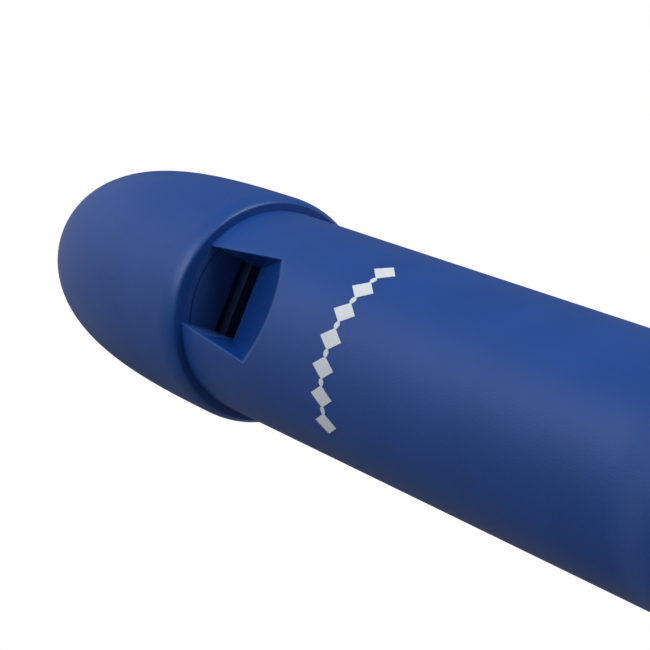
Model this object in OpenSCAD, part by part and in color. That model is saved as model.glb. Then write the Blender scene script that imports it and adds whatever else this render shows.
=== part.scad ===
// Soprano recorder in three joints, standing on its foot with the beak up.
// The window and the finger holes face -Y, the thumb hole faces +Y.
// Origin: centre of the foot's end face.

/* [Lengths] */
// Foot joint, from the end face to its upper rim
foot_length = 62; // [58:1:66]
// Visible part of the middle joint, between the foot's rim and the head's rim
middle_length = 141; // [138:1:146]
// Head tube, from its lower rim to the rim of the beak cap
head_length = 86; // [80:1:92]
// Beak cap, from its rim to the tip
beak_length = 39.7; // [37:0.1:42]

/* [Outside radii] */
// Plain part of the head tube
head_r = 11.5; // [11.2:0.1:11.8]
// Beak cap at its widest
cap_r = 12.95; // [12.7:0.05:13.2]
// Socket ring at the lower end of the head
head_ring_r = 13; // [12.6:0.1:13.4]
// Middle joint at its upper end
middle_top_r = 10.5; // [10.2:0.1:10.8]
// Middle joint at its lower end
middle_low_r = 9.7; // [9.5:0.1:10]
// Foot joint round its socket
foot_socket_r = 11.9; // [11.6:0.1:12.4]
// Foot joint at its waist
foot_waist_r = 9.5; // [9.2:0.1:9.9]
// Bell at the foot's end
foot_bell_r = 12.2; // [11.8:0.1:12.6]

/* [Bore] */
// Head bore, a cylinder
head_bore_r = 6.65; // [6.5:0.05:6.75]
// Lower end of the middle joint's tapered bore
middle_bore_low_r = 5.3; // [5.2:0.05:5.4]
// Foot bore at the open end, a cylinder
foot_bore_r = 5; // [4.8:0.1:5.2]
// Length of the cylinder at the foot bore's open end
foot_bore_length = 30; // [26:1:34]

/* [Windway and window] */
// Width of the windway and of the edge that splits the air
windway_w = 8.1; // [7.6:0.1:8.4]
// Floor of the windway above the bore's axis
windway_floor = 5.2; // [5.15:0.05:5.25]
// Height of the windway where it ends at the window
windway_h = 1; // [0.8:0.1:1.2]
// Extra height of the windway at the beak's tip
windway_rise = 0.7; // [0.4:0.1:0.9]
// From the windway's end to the edge that splits the air
cut_up = 4.2; // [4:0.1:4.6]
// Height of the splitting edge above the bore's axis
edge_h = 6.3; // [6.2:0.05:6.4]
// Slope of the ramp above the splitting edge, in degrees
ramp_angle = 22.9; // [21:0.1:25]

/* [Finger holes] */
// Thumb hole's diameter
thumb_hole_d = 5.5; // [5:0.1:6]
// Radial depth of the dish round each hole on the middle joint
hole_dish = 0.35; // [0.2:0.05:0.5]

/* [Tenons] */
// Length of the upper tenon
upper_tenon = 22.5; // [20:0.5:24]
// Length of the lower tenon
lower_tenon = 14.7; // [14:0.1:15]
// Radial clearance of each cork in its socket and on its tenon
running_fit = 0.05; // [0.03:0.01:0.1]

/* [Hidden] */

plastic = [0.15, 0.28, 0.55];
cork = [0.72, 0.55, 0.38];
ink = [0.80, 0.83, 0.86];
$fn = 96;
big = 60;
through = 20;

middle_z = foot_length;
head_z = middle_z + middle_length;
rim_z = head_z + head_length;
tip_z = rim_z + beak_length;

// The beak's dome is a superellipse turned about the axis
dome_power = 3.16;
dome_steps = 40;
// The dome tucks in towards its rim along a quarter of an ellipse
rim_tuck = 0.7;
rim_height = 2.5;
// The thumb side of the beak is hollowed by a cylinder across it
hollow_r = 36;
hollow_drop = 36.3;
hollow_from_tip = 3.35;
// The head tube ends in a spigot inside the cap
spigot_r = 10.35;
spigot_length = 8;
// The block's round part, then its tongue, which runs to the beak's tip
block_length = 12;
block_chamfer = 0.6;
block_chamfer_depth = 0.45;
tongue_w = 11;
tongue_low = 1.6;
tongue_from_tip = 3.4;
// The windway widens towards the tip
windway_roof = windway_floor + windway_h;
mouth_w = 10;

// Window: its side walls lean outward and flare down the ramp
wall_lean = 0.083;
flare_start = 2.43;
flare_lean = 0.18;
flare_spread = 0.11;
edge_thickness = 0.35;
undercut_length = 4;
undercut_rise = 0.2;
undercut_floor = windway_floor - 0.2;
tongue_fill_length = 12;

// Printed band: a row of diamonds with dots between them
print_z = rim_z - 28;
print_thickness = 0.06;
diamond_count = 7;
diamond_pitch = 14.6;
diamond_w = 2.3;
diamond_h = 3.7;
dot_d = 0.8;

// Tenons: each cork sits in a groove between two lips
upper_socket_r = 8.97;
upper_core_r = 7.95;
upper_lip_r = 8.75;
upper_cork_from = 3;
upper_cork_length = 15.9;
lower_socket_r = 7.95;
lower_core_r = 6.95;
lower_lip_r = 7.75;
lower_cork_from = 2.5;
lower_cork_length = 9.4;
cork_end_gap = 0.05;
socket_end_gap = 0.5;
upper_socket_depth = upper_tenon + socket_end_gap;
lower_socket_depth = lower_tenon + socket_end_gap;

// Turned outlines: softened corners, the rings at the sockets and the swells between them
lead_in = 0.5;
head_ring_length = 8;
head_ring_corner = 0.8;
head_ring_top_corner = 0.6;
head_swell = 0.9;
head_swell_length = 7;
middle_swell = 0.9;
middle_swell_length = 4;
middle_ring_length = 5;
middle_ring_corner = 0.5;
middle_foot_corner = 0.4;
foot_end_corner = 1.2;
foot_end_lead_in = 0.8;
foot_end_ring = 3.2;
foot_bell_step = 1.1;
foot_bell_low = 4.6;
foot_bell_top = 17;
foot_waist_top = 24;
foot_neck_swell = 0.3;
foot_neck_low = 34;
foot_neck_top = 43.5;
foot_socket_length = 11;
foot_bead_r = 0.6;
foot_bead_drop = 2.7;

// Hole heights are measured down from the splitting edge
edge_z = rim_z - cut_up;
single_holes = [[107, 5], [129, 5.4], [149, 5.1], [176, 4.6], [197, 5.6]];
thumb_hole_below_edge = 100;
double_hole_below_edge = 215;
foot_hole_below_edge = 245;
double_hole_big_d = 4;
double_hole_small_d = 3.1;
double_hole_spacing = 4.9;

// Points of an arc, counter-clockwise from angle a to angle b
function arc(centre, r, a, b, steps = 8) =
    [for (i = [0:steps]) centre + r * [cos(a + (b - a) * i / steps), sin(a + (b - a) * i / steps)]];

// Points of a smooth S between two [r, z] points, upright at both ends
function sweep_between(p, q, steps = 10) =
    [for (i = [0:steps]) [p[0] + (q[0] - p[0]) * (1 - cos(180 * i / steps)) / 2,
                          p[1] + (q[1] - p[1]) * i / steps]];

function dome_r(h) = cap_r * pow(1 - pow(h / beak_length, dome_power), 1 / dome_power);

// A ring turned about the bore's axis from its half section
module turned(points) {
    rotate_extrude() polygon(points);
}

module ring(outer_r, inner_r, low, high) {
    difference() {
        translate([0, 0, low]) cylinder(r = outer_r, h = high - low);
        translate([0, 0, low - 1]) cylinder(r = inner_r, h = high - low + 2);
    }
}

// A prism across the recorder from a side view; points are [distance in front of the axis, z]
module across(width, points) {
    translate([-width / 2, 0, 0])
        rotate([90, 0, 90])
            linear_extrude(width)
                polygon([for (p = points) [-p[0], p[1]]]);
}

// Everything on the axis side of a plane that leans with height in front and spreads down the tube
module wall_side(half_w, lean, spread) {
    n = sqrt(1 + lean * lean + spread * spread);
    translate([0, 0, rim_z])
        rotate([0, -asin(spread / n), atan2(lean, 1)])
            translate([half_w / n - 2 * big, -big, -big])
                cube(2 * big);
}

module between_walls(half_w, lean, spread) {
    intersection() {
        wall_side(half_w, lean, spread);
        mirror([1, 0, 0]) wall_side(half_w, lean, spread);
        children();
    }
}

// The windway's air space, from the window to the beak's tip
module windway_space() {
    intersection() {
        across(through, [[windway_floor, rim_z - 0.01], [windway_roof, rim_z - 0.01],
                         [windway_roof + windway_rise, tip_z + 1], [windway_floor, tip_z + 1]]);
        rotate([90, 0, 0])
            linear_extrude(through)
                polygon([[-windway_w / 2, rim_z - 1], [windway_w / 2, rim_z - 1],
                         [windway_w / 2, rim_z + spigot_length], [mouth_w / 2, tip_z + 1],
                         [-mouth_w / 2, tip_z + 1], [-windway_w / 2, rim_z + spigot_length]]);
    }
}

// The block's seat: round, with a flat floor to the windway, then a flat tongue
module block_shape(grow = 0) {
    intersection() {
        translate([0, 0, rim_z]) cylinder(r = head_bore_r, h = block_length + grow);
        across(through, [[-through, rim_z], [windway_floor, rim_z],
                         [windway_floor, tip_z], [-through, tip_z]]);
    }
    across(tongue_w, [[tongue_low, rim_z + block_length], [windway_floor, rim_z + block_length],
                      [windway_floor, tip_z - tongue_from_tip + grow],
                      [tongue_low, tip_z - tongue_from_tip + grow]]);
}

module beak_cap() {
    lip = [for (a = [90:-7.5:0]) let (h = rim_height * (1 - sin(a)))
           [dome_r(h) - rim_tuck * (1 - cos(a)), rim_z + h]];
    dome = [for (i = [1:dome_steps]) let (h = beak_length * sin(90 * i / dome_steps))
            if (h > rim_height + 0.3) [i == dome_steps ? 0 : dome_r(h), rim_z + h]];
    color(plastic)
        difference() {
            turned(concat([[0, rim_z]], lip, dome));
            translate([0, 0, rim_z - 1]) cylinder(r = spigot_r, h = spigot_length + 1);
            translate([-big / 2, hollow_drop, tip_z - hollow_from_tip])
                rotate([0, 90, 0])
                    cylinder(r = hollow_r, h = big, $fn = 180);
            windway_space();
            block_shape();
        }
}

module window_space() {
    slot = [[undercut_floor, rim_z], [through, rim_z], [through, edge_z], [undercut_floor, edge_z]];
    ramp = [[edge_h, edge_z], [undercut_floor, edge_z], [undercut_floor, rim_z], [through, rim_z],
            [through, edge_z - (through - edge_h) / tan(ramp_angle)]];
    between_walls(windway_w / 2 - wall_lean * windway_roof, wall_lean, 0)
        across(through, slot);
    between_walls(flare_start, flare_lean, flare_spread)
        across(through, ramp);
}

module head_tube() {
    socket_top = head_z + upper_socket_depth;
    ring_top = head_z + head_ring_length;
    outside = concat(
        [[upper_socket_r, head_z + lead_in], [upper_socket_r + lead_in, head_z]],
        arc([head_ring_r - head_ring_corner, head_z + head_ring_corner], head_ring_corner, -90, 0),
        arc([head_ring_r - head_ring_top_corner, ring_top - head_ring_top_corner],
            head_ring_top_corner, 0, 90, 6),
        sweep_between([head_r + head_swell, ring_top], [head_r, ring_top + head_swell_length]),
        [[head_r, rim_z], [spigot_r, rim_z], [spigot_r, rim_z + spigot_length],
         [head_bore_r, rim_z + spigot_length], [head_bore_r, socket_top],
         [upper_socket_r, socket_top]]);
    underside = edge_h - edge_thickness;
    color(plastic)
        difference() {
            union() {
                turned(outside);
                // The bore's top is filled above the windway and behind the splitting edge
                intersection() {
                    translate([0, 0, edge_z - tongue_fill_length])
                        cylinder(r = head_bore_r + 0.2, h = tongue_fill_length + cut_up + spigot_length);
                    union() {
                        across(through, [[underside, edge_z], [through, edge_z],
                                         [through, edge_z - tongue_fill_length],
                                         [head_bore_r, edge_z - tongue_fill_length]]);
                        across(through, [[windway_roof, rim_z], [through, rim_z],
                                         [through, rim_z + spigot_length],
                                         [windway_roof, rim_z + spigot_length]]);
                    }
                }
            }
            window_space();
            windway_space();
            across(windway_w, [[undercut_floor, edge_z + 0.1], [underside, edge_z + 0.1],
                               [underside + undercut_rise, edge_z - undercut_length],
                               [undercut_floor, edge_z - undercut_length]]);
        }
}

module block() {
    chamfer_low = windway_floor - block_chamfer_depth;
    color(plastic)
        difference() {
            block_shape();
            across(through, [[windway_floor + 1, rim_z - 1], [windway_floor + 1, rim_z + block_chamfer],
                             [windway_floor, rim_z + block_chamfer], [chamfer_low, rim_z],
                             [chamfer_low, rim_z - 1]]);
        }
}

module printed_band() {
    color(ink)
        intersection() {
            ring(head_r + print_thickness, head_r, print_z - diamond_h, print_z + diamond_h);
            union() {
                for (i = [0:diamond_count - 1])
                    at_print_angle(i)
                        linear_extrude(through)
                            polygon([[diamond_w / 2, 0], [0, diamond_h / 2],
                                     [-diamond_w / 2, 0], [0, -diamond_h / 2]]);
                for (i = [0:diamond_count - 2])
                    at_print_angle(i + 0.5)
                        cylinder(d = dot_d, h = through, $fn = 32);
            }
        }
}

// Places the children on the tube's front, i steps round the band, with their Z pointing outward
module at_print_angle(i) {
    rotate([0, 0, (i - (diamond_count - 1) / 2) * diamond_pitch])
        translate([0, 0, print_z])
            rotate([90, 0, 0])
                children();
}

module upper_tenon_cork() {
    low = head_z + upper_cork_from + cork_end_gap;
    color(cork)
        ring(upper_socket_r - running_fit, upper_core_r + running_fit, low, low + upper_cork_length);
}

module lower_tenon_cork() {
    low = middle_z - lower_cork_from - cork_end_gap - lower_cork_length;
    color(cork)
        ring(lower_socket_r - running_fit, lower_core_r + running_fit, low, low + lower_cork_length);
}

// One finger hole from the front, dished where it meets the outside
module front_hole(z, d, outside_r, x = 0) {
    translate([x, 0, z])
        rotate([90, 0, 0]) {
            cylinder(d = d, h = through, $fn = 48);
            translate([0, 0, sqrt(outside_r * outside_r - x * x) - hole_dish])
                cylinder(r1 = d / 2, r2 = d / 2 + 2, h = 2, $fn = 48);
        }
}

module double_hole(z, outside_r) {
    front_hole(z, double_hole_big_d, outside_r, -double_hole_spacing / 2);
    front_hole(z, double_hole_small_d, outside_r, double_hole_spacing / 2);
}

function middle_r(z) = middle_low_r + (middle_top_r - middle_low_r) * (z - middle_z) / middle_length;

module middle_tube() {
    thumb_z = edge_z - thumb_hole_below_edge;
    top = head_z + upper_tenon;
    low = middle_z - lower_tenon;
    upper_groove_top = head_z + upper_cork_from + upper_cork_length + 2 * cork_end_gap;
    lower_groove_low = middle_z - lower_cork_from - lower_cork_length - 2 * cork_end_gap;
    ring_r = middle_top_r + middle_swell;
    ring_low = head_z - middle_ring_length;
    swell_low = ring_low - middle_swell_length;
    outside = concat(
        [[middle_bore_low_r, low], [lower_lip_r - lead_in, low], [lower_lip_r, low + lead_in],
         [lower_lip_r, lower_groove_low], [lower_core_r, lower_groove_low],
         [lower_core_r, middle_z - lower_cork_from], [lower_lip_r, middle_z - lower_cork_from],
         [lower_lip_r, middle_z], [middle_low_r - middle_foot_corner, middle_z],
         [middle_low_r, middle_z + middle_foot_corner], [middle_r(swell_low - 1), swell_low - 1]],
        sweep_between([middle_r(swell_low), swell_low], [ring_r, ring_low]),
        arc([ring_r - middle_ring_corner, head_z - middle_ring_corner], middle_ring_corner, 0, 90, 5),
        [[upper_lip_r, head_z], [upper_lip_r, head_z + upper_cork_from],
         [upper_core_r, head_z + upper_cork_from], [upper_core_r, upper_groove_top],
         [upper_lip_r, upper_groove_top], [upper_lip_r, top - lead_in], [upper_lip_r - lead_in, top],
         [head_bore_r, top]]);
    color(plastic)
        difference() {
            turned(outside);
            for (hole = single_holes)
                front_hole(edge_z - hole[0], hole[1], middle_r(edge_z - hole[0]));
            double_hole(edge_z - double_hole_below_edge, middle_r(edge_z - double_hole_below_edge));
            mirror([0, 1, 0])
                front_hole(thumb_z, thumb_hole_d, middle_r(thumb_z));
        }
}

module foot_tube() {
    socket_low = foot_length - lower_socket_depth;
    neck_r = foot_waist_r + foot_neck_swell;
    outside = concat(
        [[foot_bore_r + foot_end_lead_in, 0]],
        arc([foot_bell_r - foot_end_corner, foot_end_corner], foot_end_corner, -90, 0),
        arc([foot_bell_r - foot_end_corner, foot_end_ring], foot_end_corner, 0, 60, 5),
        sweep_between([foot_bell_r - foot_bell_step, foot_bell_low], [foot_waist_r, foot_bell_top]),
        sweep_between([foot_waist_r, foot_waist_top], [neck_r, foot_neck_low]),
        sweep_between([neck_r, foot_neck_top], [foot_socket_r, foot_length - foot_socket_length]),
        arc([foot_socket_r, foot_length - foot_bead_drop], foot_bead_r, -90, 90, 8),
        arc([foot_socket_r - foot_bead_r, foot_length - foot_bead_r], foot_bead_r, 0, 90, 5),
        [[lower_socket_r + lead_in, foot_length], [lower_socket_r, foot_length - lead_in],
         [lower_socket_r, socket_low], [middle_bore_low_r, socket_low],
         [foot_bore_r, foot_bore_length], [foot_bore_r, foot_end_lead_in]]);
    color(plastic)
        difference() {
            turned(outside);
            double_hole(edge_z - foot_hole_below_edge, neck_r);
        }
}

beak_cap();
head_tube();
block();
printed_band();
upper_tenon_cork();
middle_tube();
lower_tenon_cork();
foot_tube();
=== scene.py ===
"""A soprano recorder: smooth moulded shells, cork seals and a printed band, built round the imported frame."""

import math

import bpy
import numpy as np
from mathutils import Matrix, Vector
from mathutils.geometry import delaunay_2d_cdt
from mathutils.kdtree import KDTree


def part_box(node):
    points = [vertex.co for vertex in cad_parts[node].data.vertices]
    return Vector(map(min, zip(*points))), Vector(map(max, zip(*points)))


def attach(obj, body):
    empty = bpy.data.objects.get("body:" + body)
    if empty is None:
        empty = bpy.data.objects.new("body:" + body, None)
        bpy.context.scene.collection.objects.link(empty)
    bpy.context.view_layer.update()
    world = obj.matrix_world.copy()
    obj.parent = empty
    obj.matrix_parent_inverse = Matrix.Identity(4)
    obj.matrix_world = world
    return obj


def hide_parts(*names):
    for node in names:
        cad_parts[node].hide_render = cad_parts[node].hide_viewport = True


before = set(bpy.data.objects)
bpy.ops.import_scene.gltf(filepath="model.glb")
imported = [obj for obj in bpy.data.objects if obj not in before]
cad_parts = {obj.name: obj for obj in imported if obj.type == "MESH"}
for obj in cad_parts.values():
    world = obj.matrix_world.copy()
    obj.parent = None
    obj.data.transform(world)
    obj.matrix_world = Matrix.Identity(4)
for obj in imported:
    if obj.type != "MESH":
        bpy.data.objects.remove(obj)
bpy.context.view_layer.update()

# Lengths are millimetres in the frame's axes: +Z up the bore, -Y the front, +X to the right.
# "front" is a distance from the bore's axis towards -Y, and "down" a distance below the cap's rim.
MM = 0.001
COLUMNS = 96
FRONT_COLUMN = COLUMNS // 2
WELD = 0.0008

# ---------------------------------------------------------------- sizes read from the frame


def box_mm(node):
    low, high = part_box(node)
    return np.array(low) / MM, np.array(high) / MM


cap_low, cap_high = box_mm("beak_cap")
head_low, head_high = box_mm("head_tube")
block_high = box_mm("block")[1]
foot_high = box_mm("foot_tube")[1]
middle_low, middle_high = box_mm("middle_tube")
upper_cork_low, upper_cork_high = box_mm("upper_tenon_cork")
lower_cork_low, lower_cork_high = box_mm("lower_tenon_cork")

RIM_Z, TIP_Z, CAP_R = cap_low[2], cap_high[2], cap_high[0]
HEAD_Z, SPIGOT_TOP, HEAD_RING_R = head_low[2], head_high[2], head_high[0]
MIDDLE_Z = foot_high[2]
BEAK_LENGTH = TIP_Z - RIM_Z
BORE_R = block_high[0]

# ---------------------------------------------------------------- radii and small sizes

HEAD_R = 11.5
SPIGOT_R = 10.35
UPPER_SOCKET_R, UPPER_LIP_R, UPPER_CORE_R = 8.97, 8.75, 7.95
LOWER_SOCKET_R, LOWER_LIP_R, LOWER_CORE_R = 7.95, 7.75, 6.95
SOCKET_END_GAP = 0.5
MIDDLE_TOP_R, MIDDLE_LOW_R = 10.5, 9.7
MIDDLE_BORE_LOW_R = 5.3
FOOT_BORE_R, FOOT_BORE_LENGTH = 5.0, 30.0
FOOT_SOCKET_R, FOOT_WAIST_R, FOOT_BELL_R = 11.9, 9.5, 12.2

WINDWAY_HALF, WINDWAY_FLOOR, WINDWAY_ROOF = 4.05, 5.2, 6.2
WINDWAY_RISE, MOUTH_HALF = 0.7, 5.0
CUT_UP, EDGE_FRONT, EDGE_THICKNESS = 4.2, 6.3, 0.35
RAMP_SLOPE = math.tan(math.radians(22.9))
UNDERSIDE_LENGTH = 9.8
BORE_FRONT = math.sqrt(BORE_R**2 - WINDWAY_HALF**2)
WINDOW_HALF, WINDOW_FLARE, WINDOW_ROUND = 4.43, 0.097, 0.22
EDGE_ROUND = 0.14

DOME_POWER = 3.16
RIM_TUCK, RIM_HEIGHT = 0.7, 2.5
DOME_SPLIT = 7.5
HOLLOW_R, HOLLOW_Y, HOLLOW_Z = 36.0, 36.3, TIP_Z - 3.35
BEAK_EDGE_ROUND, MOUTH_ROUND, SLOT_CORNER = 1.1, 0.3, 0.35
TONGUE_HALF, TONGUE_LOW = 5.5, 1.6
SEAT_TOP, TONGUE_TOP = RIM_Z + 12, block_high[2]

EDGE_Z = RIM_Z - CUT_UP
SINGLE_HOLES = ((107, 5.0), (129, 5.4), (149, 5.1), (176, 4.6), (197, 5.6))
THUMB_HOLE = (100, 5.5)
DOUBLE_BELOW_EDGE, FOOT_HOLE_BELOW_EDGE = 215, 245
DOUBLE_HOLES = ((-2.45, 4.0), (2.45, 3.1))
HOLE_ROUND = 0.4
CORK_THICKNESS = 0.92
CORK_END_GAP = 0.05

# ---------------------------------------------------------------- mesh building


def unit(vectors):
    vectors = np.asarray(vectors, float)
    return vectors / np.maximum(np.linalg.norm(vectors, axis=-1, keepdims=True), 1e-12)


def winding(points, edges, outline):
    """True for each 2-D point that an odd number of the outline's edges encloses."""
    inside = np.zeros(len(points), bool)
    for a, b in edges:
        (x0, y0), (x1, y1) = outline[a], outline[b]
        if y0 == y1:
            continue
        spans = (points[:, 1] < y0) != (points[:, 1] < y1)
        inside ^= spans & (points[:, 0] < x0 + (points[:, 1] - y0) * (x1 - x0) / (y1 - y0))
    return inside


def ring_edges(count, start=0):
    return [(start + i, start + (i + 1) % count) for i in range(count)]


def new_object(name, data):
    made = bpy.data.objects.new(name, data)
    bpy.context.scene.collection.objects.link(made)
    return made


def clear(chart, points, loops, near, gap):
    """The points inside loops[0] and outside the other loops that are more than a gap from near."""
    places = chart(points)[0]
    kept = np.linalg.norm(points[:, None] - near[None], axis=2).min(1) > gap
    for k, loop in enumerate(loops):
        kept &= winding(places, ring_edges(len(loop[0])), loop[0]) == (k == 0)
    return chart(points[kept])


class Shell:
    """Gathers faces with a normal at every corner, then welds them into one closed mesh."""

    def __init__(self):
        self.points = []
        self.normals = []
        self.wear_and_highlight = []
        self.faces = []
        self.count = 0

    def add(self, points, normals, faces, wear_and_highlight=0.0):
        """Adds faces, each turned to look along its corners' normals.

        The wear value is 0 on plain faces and 1 on rounded edges, which the material lightens partly as
        handling wear and partly as a painted highlight.
        """
        points = np.asarray(points, float).reshape(-1, 3)
        normals = unit(np.asarray(normals, float).reshape(-1, 3))
        faces = np.asarray(faces, int)
        across = points[faces[:, 2]] - points[faces[:, 0]]
        along = points[faces[:, -1]] - points[faces[:, 1]]
        if faces.shape[1] == 3:
            along = points[faces[:, 2]] - points[faces[:, 1]]
        backward = (np.cross(across, along) * normals[faces].sum(1)).sum(1) < 0
        faces[backward] = faces[backward][:, ::-1]
        self.faces += [tuple(f) for f in (faces + self.count).tolist()]
        self.points.append(points)
        self.normals.append(normals)
        self.wear_and_highlight.append(np.zeros(len(points)) + wear_and_highlight)
        self.count += len(points)

    def grid(self, points, normals, wear_and_highlight=0.0, closed=False):
        """Quads over points[row, column]; closed joins the last column to the first."""
        points = np.asarray(points, float)
        rows, columns = points.shape[:2]
        strips = columns if closed else columns - 1
        row, column = np.meshgrid(np.arange(rows - 1) * columns, np.arange(strips), indexing="ij")
        after = (column + 1) % columns
        corners = (row + column, row + after, row + columns + after, row + columns + column)
        faces = np.stack(corners, -1).reshape(-1, 4)
        wear_and_highlight = np.repeat(np.zeros(rows) + wear_and_highlight, columns)
        self.add(points, np.broadcast_to(normals, points.shape), faces, wear_and_highlight)

    def patch(self, loops, inner=None):
        """Triangles inside loops[0] and outside the other loops.

        A loop, like inner, is (2-D places, points, normals).
        """
        parts = loops if inner is None else [*loops, inner]
        places = np.concatenate([p[0] for p in parts])
        edges = []
        start = 0
        for loop in loops:
            edges += ring_edges(len(loop[0]), start)
            start += len(loop[0])
        made = delaunay_2d_cdt([Vector(p) for p in places.tolist()], edges, [], 0, 1e-7)
        if any(not ids for ids in made[3]):
            raise ValueError("a patch's outline crosses itself")
        source = np.array([ids[0] for ids in made[3]])
        triangles = source[np.array(made[2])]
        kept = winding(places[triangles].mean(1), edges, places)
        points = np.concatenate([p[1] for p in parts])
        normals = np.concatenate([p[2] for p in parts])
        self.add(points, normals, triangles[kept])

    def flat(self, loops, normal):
        """A flat patch, charted by the two coordinates that its normal leans least along."""
        normal = np.array(normal, float)
        steepest = int(np.argmax(abs(normal)))
        axes = tuple(k for k in range(3) if k != steepest)
        loops = [np.asarray(p) for p in loops]
        self.patch([(p[:, axes], p, np.tile(normal, (len(p), 1))) for p in loops])

    def piece(self, name):
        """The welded mesh as an object, each corner keeping its own normal."""
        points = np.concatenate(self.points)
        normals = np.concatenate(self.normals)
        wear_and_highlight = np.concatenate(self.wear_and_highlight)
        tree = KDTree(len(points))
        for i, p in enumerate(points):
            tree.insert(p, i)
        tree.balance()
        same = np.full(len(points), -1)
        kept = []
        for i, p in enumerate(points):
            if same[i] < 0:
                near = [j for _, j, _ in tree.find_range(p, WELD)]
                same[near] = len(kept)
                kept.append(i)
        worn_and_lit = np.zeros(len(kept))
        np.maximum.at(worn_and_lit, same, wear_and_highlight)
        faces = []
        corner_normals = []
        for face in self.faces:
            ring = [i for k, i in enumerate(face) if same[i] != same[face[k - 1]]]
            if len(ring) > 2 and len({same[i] for i in ring}) == len(ring):
                faces.append([int(same[i]) for i in ring])
                corner_normals += [normals[i] for i in ring]
        mesh = bpy.data.meshes.new(name)
        mesh.from_pydata((points[kept] * MM).tolist(), [], faces)
        mesh.polygons.foreach_set("use_smooth", [True] * len(mesh.polygons))
        mesh.attributes.new("wear_and_highlight", "FLOAT", "POINT").data.foreach_set("value", worn_and_lit.astype(np.float32))
        mesh.normals_split_custom_set([tuple(n) for n in corner_normals])
        return new_object(name, mesh)


def column_angles(first=0, last=COLUMNS - 1):
    """Angles of the turned shapes' columns: 0 is the front, positive towards +X."""
    return np.radians(-180 + 360 / COLUMNS * np.arange(first, last + 1))


def round_back(angles, least):
    """The angles more than least from the front, in order round the back."""
    kept = angles[abs(angles) > least]
    return np.concatenate([kept[kept > 0], kept[kept < 0] + 2 * math.pi])


def stacked(*parts):
    """Points whose coordinates are the parts."""
    return np.stack(np.broadcast_arrays(*parts), -1).astype(float)


def turned(radius, z, angle):
    """Points at a radius and height, at an angle from the front."""
    return stacked(radius * np.sin(angle), -radius * np.cos(angle), z)


def spot(x, front, down):
    return stacked(x, np.negative(front), np.subtract(RIM_Z, down))


def mirrored(points):
    return np.asarray(points) * np.array([-1, 1, 1])


def way_back(points):
    """A run's mirror image, from its far end to its start."""
    return mirrored(points)[::-1]


def joined(*runs):
    """Point runs end to end, without the points that two runs share."""
    out = [np.asarray(runs[0])]
    for run in runs[1:]:
        run = np.asarray(run)
        same = np.linalg.norm(run[0] - out[-1][-1]) < WELD
        out.append(run[1:] if same else run)
    points = np.concatenate(out)
    return points[:-1] if np.linalg.norm(points[0] - points[-1]) < WELD else points


def whole(run):
    """A run and its mirror image as one closed line."""
    return joined(run, way_back(run))


def profile(corners):
    """A half section as points, outward normals and wear values, which also mark where the material paints a
    highlight on rounded edges.

    corners are (radius, z, rounding), with the material on the left.
    """
    corners = [tuple(c) + (0.0,) * (3 - len(c)) for c in corners]
    points = []
    normals = []
    wear_and_highlight = []

    def put(point, normal, worn_and_lit):
        points.append(point)
        normals.append(normal)
        wear_and_highlight.append(worn_and_lit)

    ways = [unit(np.subtract(b[:2], a[:2])) for a, b in zip(corners, corners[1:])]
    outs = [np.array([w[1], -w[0]]) for w in ways]
    put(np.array(corners[0][:2]), outs[0], 0.0)
    for i, (radius, z, rounding) in enumerate(corners[1:-1]):
        before, after = ways[i], ways[i + 1]
        turn = math.atan2(before[0] * after[1] - before[1] * after[0], before @ after)
        corner = np.array([radius, z])
        if rounding == 0 and abs(turn) < math.radians(25):
            put(corner, unit(outs[i] + outs[i + 1]), 0.0)
            continue
        if rounding == 0:
            put(corner, outs[i], 0.0)
            put(corner, outs[i + 1], 0.0)
            continue
        side = 1 if turn > 0 else -1
        centre = corner - before * rounding * math.tan(abs(turn) / 2) - side * outs[i] * rounding
        steps = max(3, round(abs(math.degrees(turn)) / 15))
        for k in range(steps + 1):
            a = turn * k / steps
            n = np.array([outs[i][0] * math.cos(a) - outs[i][1] * math.sin(a),
                          outs[i][0] * math.sin(a) + outs[i][1] * math.cos(a)])
            put(centre + side * n * rounding, n, 1.0 if side > 0 and 0 < k < steps else 0.0)
    put(np.array(corners[-1][:2]), outs[-1], 0.0)
    return np.array(points), np.array(normals), np.array(wear_and_highlight)


def s_curve(start, end, steps=16):
    """Profile corners of a smooth S between two (radius, z) places, upright at both ends."""
    share = np.arange(steps + 1) / steps
    radius = start[0] + (end[0] - start[0]) * (1 - np.cos(math.pi * share)) / 2
    return [(r, start[1] + (end[1] - start[1]) * s) for r, s in zip(radius, share)]


def lathe(shell, corners, angles=column_angles()):
    """Turns a half section round the bore's axis."""
    points, normals, wear_and_highlight = profile(corners)
    bends = turned(normals[:, :1], normals[:, 1:], angles)
    shell.grid(turned(points[:, :1], points[:, 1:], angles), bends, wear_and_highlight, closed=True)


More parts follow.
